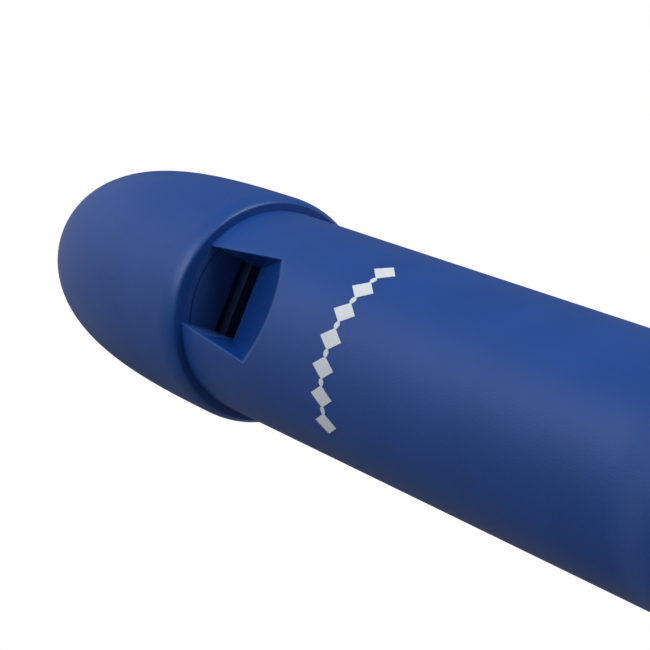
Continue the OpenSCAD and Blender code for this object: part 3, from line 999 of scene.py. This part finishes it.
def block_seat(shell, arches, tongue_floor):
    """The block's seat, flat round the tongue and round below it, and the socket's ceiling round it."""
    flat_turn = math.acos(WINDWAY_FLOOR / BORE_R)
    side_turn = math.asin(TONGUE_HALF / BORE_R)
    side_fronts = (WINDWAY_FLOOR, BORE_R * math.cos(side_turn), TONGUE_LOW)
    high_corners = stacked(TONGUE_HALF, np.negative(side_fronts), TONGUE_TOP)
    corners = stacked(TONGUE_HALF, np.negative(side_fronts), SEAT_TOP)
    shell.flat([joined(tongue_floor, high_corners, way_back(high_corners))], (0, 0, -1))
    flat_edge = turned(BORE_R, SEAT_TOP, flat_turn)
    for flip, side in ((np.asarray, -1), (mirrored, 1)):
        shell.grid(flip([corners, high_corners]), (side, 0, 0))
        ledge = [arches[SEAT_TOP][0], flat_edge, corners[0], high_corners[0], tongue_floor[-1]]
        shell.flat([flip(np.array(ledge))], (0, 1, 0))
    bottom = [corners[2], mirrored(corners[2]), mirrored(high_corners[2]), high_corners[2]]
    shell.add(bottom, [(0, -1, 0)] * 4, [(0, 1, 2, 3)])
    wing_turns = np.linspace(flat_turn, side_turn, 5)
    under_turns = np.linspace(side_turn, 2 * math.pi - side_turn, 65)
    turns = np.concatenate([wing_turns, under_turns[1:-1], 2 * math.pi - wing_turns[::-1]])
    rounds = {z: turned(BORE_R, z, turns) for z in (SEAT_TOP, SPIGOT_TOP)}
    shell.grid(list(rounds.values()), -radial(rounds[SPIGOT_TOP]))
    for k in (0, -1):
        ledge = [arches[SEAT_TOP][k], rounds[SEAT_TOP][k], rounds[SPIGOT_TOP][k], arches[SPIGOT_TOP][k]]
        shell.add(ledge, [(0, 1, 0)] * 4, [(0, 1, 2, 3)])
    wing = joined(turned(BORE_R, SEAT_TOP, wing_turns), [corners[0]])
    shell.flat([wing], (0, 0, 1))
    shell.flat([mirrored(wing)], (0, 0, 1))
    under = joined(turned(BORE_R, SEAT_TOP, under_turns), [mirrored(corners[2]), corners[2]])
    shell.flat([under], (0, 0, -1))
    ceiling = joined(arches[SPIGOT_TOP][::-1], rounds[SPIGOT_TOP])
    shell.flat([turned(SPIGOT_R, SPIGOT_TOP, column_angles()), ceiling], (0, 0, -1))


def beak_cap():
    shell = Shell()
    lathe(shell, [(SPIGOT_R, SPIGOT_TOP), (SPIGOT_R, RIM_Z, 0.2), (CAP_R - RIM_TUCK, RIM_Z)])
    rim_lip(shell)
    heights = np.linspace(RIM_HEIGHT, DOME_SPLIT, 9)
    lower = turned(dome_r(heights)[:, None], RIM_Z + heights[:, None], column_angles())
    shell.grid(lower, dome_normal(lower), closed=True)
    hollow_line = thumb_hollow(shell)
    mouth_line, mouth_arch, mouth_floor, arch_in = windway_mouth(shell)
    chart = DomeChart()
    loops = [chart(lower[-1]), chart(hollow_line), chart(mouth_line)]
    fill = chart.rings(DOME_SPLIT, 0.7)
    fill = fill[fill[:, 2] > RIM_Z + DOME_SPLIT + 0.4]
    shell.patch(loops, clear(chart, fill, loops, np.concatenate([hollow_line, mouth_line]), 0.45))
    arches, tongue_floor = windway(shell, mouth_arch, mouth_floor, arch_in)
    block_seat(shell, arches, tongue_floor)
    return shell.piece("beak_cap_shell")


# ---------------------------------------------------------------- corks


def cork_ring(name, low, high):
    """A cork sleeve with softened ends."""
    shell = Shell()
    outer_r, bottom, top = high[0], low[2], high[2]
    inner_r = outer_r - CORK_THICKNESS
    middle = (bottom + top) / 2
    lathe(shell, [
        (inner_r, middle), (inner_r, bottom, 0.15), (outer_r, bottom, 0.35),
        (outer_r, top, 0.35), (inner_r, top, 0.15), (inner_r, middle),
    ])
    return shell.piece(name)


# ---------------------------------------------------------------- materials


class Nodes:
    """Adds nodes to a material and links them in one call each."""

    def __init__(self, name):
        self.material = bpy.data.materials.new(name)
        self.material.use_nodes = True
        self.tree = self.material.node_tree
        self.shader = self.tree.nodes["Principled BSDF"]
        self.place = self.add("TexCoord").outputs["Object"]

    def set(self, **values):
        for name, value in values.items():
            self.shader.inputs[name.replace("_", " ")].default_value = value

    def plug(self, value, socket):
        if isinstance(value, bpy.types.NodeSocket):
            self.tree.links.new(value, socket)
        else:
            socket.default_value = value

    def add(self, kind, **inputs):
        """A new node; each input is a number, a color or another node's output."""
        node = self.tree.nodes.new("ShaderNode" + kind)
        for name, value in inputs.items():
            self.plug(value, node.inputs[name.replace("_", " ")])
        return node

    def noise(self, size_mm, detail=2.0, roughness=0.5):
        """Noise whose features are about size_mm across, from 0 to 1."""
        scale = 1 / (size_mm * MM)
        node = self.add("TexNoise", Scale=scale, Detail=detail, Roughness=roughness, Vector=self.place)
        return node.outputs["Fac"]

    def cells(self, size_mm):
        """Distance from the middle of the nearest of a field of cells about size_mm across."""
        return self.add("TexVoronoi", Scale=1 / (size_mm * MM), Vector=self.place).outputs["Distance"]

    def remap(self, value, low, high, to_low=0, to_high=1):
        ends = {"From_Min": low, "From_Max": high, "To_Min": to_low, "To_Max": to_high}
        return self.add("MapRange", Value=value, **ends).outputs["Result"]

    def operate(self, kind, operation, *values):
        node = self.add(kind)
        node.operation = operation
        for value, socket in zip(values, node.inputs):
            self.plug(value, socket)
        return node

    def math(self, operation, a, b):
        return self.operate("Math", operation, a, b).outputs["Value"]

    def mix(self, share, a, b):
        node = self.add("Mix", Factor=share)
        node.data_type = "RGBA"
        self.plug(a, node.inputs[6])
        self.plug(b, node.inputs[7])
        return node.outputs[2]

    def bump(self, height, depth_mm, strength=1.0, under=None):
        node = self.add("Bump", Distance=depth_mm * MM, Strength=strength, Height=height)
        if under is not None:
            self.plug(under, node.inputs["Normal"])
        return node.outputs["Normal"]

    def height_step(self, z0, z1, start=0, end=1):
        """A value that goes from start at height z0 to end at height z1, in millimetres."""
        height = self.add("SeparateXYZ", Vector=self.place).outputs["Z"]
        return self.remap(height, z0 * MM, z1 * MM, start, end)

    def inside_window(self):
        """1 on the faces of the window and the bore behind it, 0 on the outside."""
        across = self.operate("VectorMath", "MULTIPLY", self.place, (1, 1, 0)).outputs["Vector"]
        radius = self.operate("VectorMath", "LENGTH", across).outputs["Value"]
        within = self.remap(radius, (HEAD_R - 0.4) * MM, (HEAD_R - 0.2) * MM, 1, 0)
        above = self.height_step(RIM_Z - 20, RIM_Z - 19)
        below = self.height_step(RIM_Z + 0.02, RIM_Z + 0.1, 1, 0)
        return self.math("MULTIPLY", within, self.math("MULTIPLY", above, below))

    def attribute(self, name):
        node = self.add("Attribute")
        node.attribute_name = name
        return node.outputs["Fac"]

    def finish(self, color, roughness, normal):
        self.plug(color, self.shader.inputs["Base Color"])
        self.plug(roughness, self.shader.inputs["Roughness"])
        self.plug(normal, self.shader.inputs["Normal"])
        return self.material


def plastic(name, color, deep, worn_and_lit, ramp, beside_block_painted_light):
    """Satin moulded plastic: fine grain, faint flow clouds, rounded edges lightened as handling wear and as a
    painted highlight, and a smoother window.

    In the window the color is painted light: it leans to the ramp colour below the edge that splits the air
    and to the colour beside the block above it; on the body these are a darker painted shade and a greyer
    painted sheen.
    """
    nodes = Nodes(name)
    nodes.set(IOR=1.5)
    clouds = nodes.noise(9.0, detail=3.0)
    grain = nodes.noise(0.22, detail=2.0, roughness=0.6)
    handled = nodes.noise(14.0, detail=4.0, roughness=0.6)
    base = nodes.mix(nodes.remap(clouds, 0.3, 0.7), deep, color)
    base = nodes.mix(nodes.remap(grain, 0.35, 0.75, 0, 0.16), base, worn_and_lit)
    # Rounded edges lean to the lighter colour: partly handling wear, partly a painted highlight, strongest on
    # the cap's lip.
    edge = nodes.math("MULTIPLY", nodes.attribute("wear_and_highlight"), nodes.remap(handled, 0.35, 0.65, 0.1, 0.5))
    base = nodes.mix(edge, base, worn_and_lit)
    uneven = nodes.remap(handled, 0.3, 0.7, -0.04, 0.04)
    rough = nodes.math("ADD", nodes.remap(grain, 0.2, 0.8, 0.40, 0.52), uneven)
    rough = nodes.math("SUBTRACT", rough, nodes.math("MULTIPLY", edge, 0.2))
    window_polish_and_painted_light = nodes.inside_window()
    # Painted light inside the window: a darker painted shade on the ramp, a greyer painted sheen beside the
    # block, and a dark grey painted shade on the block itself.
    within = nodes.mix(nodes.height_step(EDGE_Z - 0.1, EDGE_Z + 0.1), ramp, beside_block_painted_light)
    base = nodes.mix(nodes.math("MULTIPLY", window_polish_and_painted_light, 0.6), base, within)
    rough = nodes.math("SUBTRACT", rough, nodes.math("MULTIPLY", window_polish_and_painted_light, 0.22))
    normal = nodes.bump(grain, 0.03, nodes.math("SUBTRACT", 0.9, nodes.math("MULTIPLY", window_polish_and_painted_light, 0.7)))
    normal = nodes.bump(nodes.noise(2.5, detail=1.0), 0.03, 0.15, normal)
    return nodes.finish(base, rough, normal)


def print_ink():
    """Silver pad-printed ink, a little mottled, with pinholes over the plastic's grain."""
    nodes = Nodes("print_ink_look")
    grain = nodes.noise(0.16, detail=3.0, roughness=0.7)
    blotch = nodes.noise(0.7, detail=2.0)
    base = nodes.mix(nodes.remap(grain, 0.3, 0.7), (0.78, 0.87, 0.96, 1), (0.93, 0.98, 1.0, 1))
    base = nodes.mix(nodes.remap(blotch, 0.35, 0.65, 0, 0.35), base, (0.80, 0.88, 0.97, 1))
    pinholes = nodes.remap(grain, 0.18, 0.27, 0.6, 0)
    base = nodes.mix(pinholes, base, (0.10, 0.17, 0.36, 1))
    return nodes.finish(base, nodes.remap(grain, 0.2, 0.8, 0.5, 0.75), nodes.bump(grain, 0.03, 0.6))


def cork():
    """Sheet cork: small pale granules, dark joints and pores, slightly greased."""
    nodes = Nodes("tenon_cork_look")
    granules = nodes.cells(0.9)
    tone = nodes.noise(1.6, detail=4.0, roughness=0.65)
    base = nodes.mix(nodes.remap(tone, 0.3, 0.7), (0.40, 0.23, 0.11, 1), (0.62, 0.42, 0.24, 1))
    joint = nodes.remap(granules, 0.45, 0.75, 0, 0.45)
    base = nodes.mix(joint, base, (0.24, 0.12, 0.05, 1))
    pores = nodes.remap(nodes.noise(0.45, detail=2.0), 0.62, 0.72, 0, 0.9)
    base = nodes.mix(pores, base, (0.09, 0.045, 0.02, 1))
    height = nodes.math("SUBTRACT", tone, nodes.math("MULTIPLY", pores, 0.8))
    return nodes.finish(base, nodes.remap(tone, 0.3, 0.7, 0.55, 0.8), nodes.bump(height, 0.08, 0.8))


BODY_BLUE = (0.0085, 0.077, 0.362, 1)
BODY_DEEP = (0.0070, 0.068, 0.325, 1)
# Lighter blue for grain flecks and rounded edges; on the edges it is handling wear and a painted highlight.
BODY_WORN_AND_LIT = (0.020, 0.105, 0.400, 1)
# Painted light in the window: a darker painted shade on the ramp and a greyer painted sheen beside the block.
BODY_RAMP_PAINTED_SHADE = (0.004, 0.045, 0.26, 1)
BODY_BESIDE_BLOCK_PAINTED_SHEEN = (0.045, 0.11, 0.31, 1)
BLOCK_BLUE = (0.008, 0.058, 0.25, 1)
BLOCK_DEEP = (0.007, 0.050, 0.22, 1)
# Lighter block blue for grain flecks and rounded edges; on the edges it is handling wear and a painted
# highlight.
BLOCK_WORN_AND_LIT = (0.02, 0.09, 0.32, 1)
# Dark grey painted shade on the block where it sits inside the head, behind the window.
BLOCK_INSIDE_PAINTED_SHADE = (0.035, 0.050, 0.10, 1)

body_look = plastic("body_plastic_look", BODY_BLUE, BODY_DEEP, BODY_WORN_AND_LIT, BODY_RAMP_PAINTED_SHADE, BODY_BESIDE_BLOCK_PAINTED_SHEEN)
block_look = plastic("block_plastic_look", BLOCK_BLUE, BLOCK_DEEP, BLOCK_WORN_AND_LIT, BLOCK_INSIDE_PAINTED_SHADE, BLOCK_INSIDE_PAINTED_SHADE)
ink_look = print_ink()
cork_look = cork()

# ---------------------------------------------------------------- pieces on their bodies


def place(piece, look, body, node):
    piece.data.materials.append(look)
    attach(piece, body)
    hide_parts(node)


place(beak_cap(), body_look, "head", "beak_cap")
place(head_tube(), body_look, "head", "head_tube")
place(middle_tube(), body_look, "middle", "middle_tube")
place(foot_tube(), body_look, "foot", "foot_tube")
upper_cork = cork_ring("upper_tenon_cork_sleeve", upper_cork_low, upper_cork_high)
lower_cork = cork_ring("lower_tenon_cork_sleeve", lower_cork_low, lower_cork_high)
place(upper_cork, cork_look, "upper_cork", "upper_tenon_cork")
place(lower_cork, cork_look, "lower_cork", "lower_tenon_cork")
for node, look in (("block", block_look), ("printed_band", ink_look)):
    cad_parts[node].material_slots[0].material = look

# ---------------------------------------------------------------- floor, light and camera


def floor():
    """A pale floor that glows a little, so that it stays even, and sends no light to the object."""
    half = 10.0
    mesh = bpy.data.meshes.new("floor")
    corners = [(-half, -half, 0), (half, -half, 0), (half, half, 0), (-half, half, 0)]
    mesh.from_pydata(corners, [], [(0, 1, 2, 3)])
    piece = new_object("floor", mesh)
    nodes = Nodes("floor_look")
    tone = nodes.noise(60.0, detail=3.0)
    base = nodes.mix(tone, (0.78, 0.78, 0.78, 1), (0.84, 0.84, 0.84, 1))
    nodes.set(Emission_Color=(1, 1, 1, 1), Emission_Strength=0.58)
    piece.data.materials.append(nodes.finish(base, 0.9, nodes.bump(tone, 0.05, 0.2)))
    piece.visible_diffuse = False
    piece.visible_glossy = False


def white_surroundings(glow):
    """A white backdrop that lights the object only softly."""
    world = bpy.data.worlds.new("surroundings")
    bpy.context.scene.world = world
    world.use_nodes = True
    tree = world.node_tree
    background = tree.nodes["Background"]
    background.inputs["Color"].default_value = (1, 1, 1, 1)
    rays = tree.nodes.new("ShaderNodeLightPath")
    strength = tree.nodes.new("ShaderNodeMix")
    strength.inputs["A"].default_value = glow
    strength.inputs["B"].default_value = 1.0
    tree.links.new(rays.outputs["Is Camera Ray"], strength.inputs["Factor"])
    tree.links.new(strength.outputs["Result"], background.inputs["Strength"])


def soft_light(name, around, above, size, power):
    """A square area light that shines on the head; around is 0 in front of the window and 90 on its right."""
    data = bpy.data.lights.new(name, "AREA")
    data.size = size
    data.energy = power
    data.spread = math.radians(110)
    light = new_object(name, data)
    turn, rise = math.radians(around), math.radians(above)
    way = Vector((math.sin(turn) * math.cos(rise), -math.cos(turn) * math.cos(rise), math.sin(rise)))
    light.location = HEAD_PLACE + way * LIGHT_DISTANCE
    light.rotation_euler = way.to_track_quat("Z", "Y").to_euler()


def camera():
    """Close under the window, looking up the head, with the recorder lying across the view."""
    eye = Vector((2.395, -137.773, RIM_Z - 201.644)) * MM
    rise, swing, roll = math.radians(54.2495), math.radians(0.606), math.radians(68.238)
    ahead = Vector((-math.sin(swing) * math.cos(rise), math.cos(swing) * math.cos(rise), math.sin(rise)))
    right = ahead.cross(Vector((0, 0, 1))).normalized()
    up = right.cross(ahead)
    turned_up = up * math.cos(roll) + right * math.sin(roll)
    turned_right = right * math.cos(roll) - up * math.sin(roll)
    data = bpy.data.cameras.new("camera")
    data.lens = 121.85
    data.sensor_width = 36
    data.clip_start = 0.01
    piece = new_object("camera", data)
    axes = Matrix((turned_right, turned_up, -ahead)).transposed().to_4x4()
    piece.matrix_world = Matrix.Translation(eye) @ axes
    bpy.context.scene.camera = piece


HEAD_PLACE = Vector((0, 0, (RIM_Z - 15) * MM))
LIGHT_DISTANCE = 0.5

camera()
floor()
white_surroundings(0.15)
soft_light("key", 75, -14, 0.25, 0.46)
soft_light("back", 150, -10, 0.25, 0.17)
soft_light("back_left", -150, 12, 0.3, 0.12)
soft_light("front", 10, 14, 0.3, 0.38)
soft_light("overhead", 0, 80, 0.5, 0.1)
soft_light("high_front", 20, 45, 0.3, 0.022)
scene = bpy.context.scene
scene.view_settings.view_transform = "Standard"
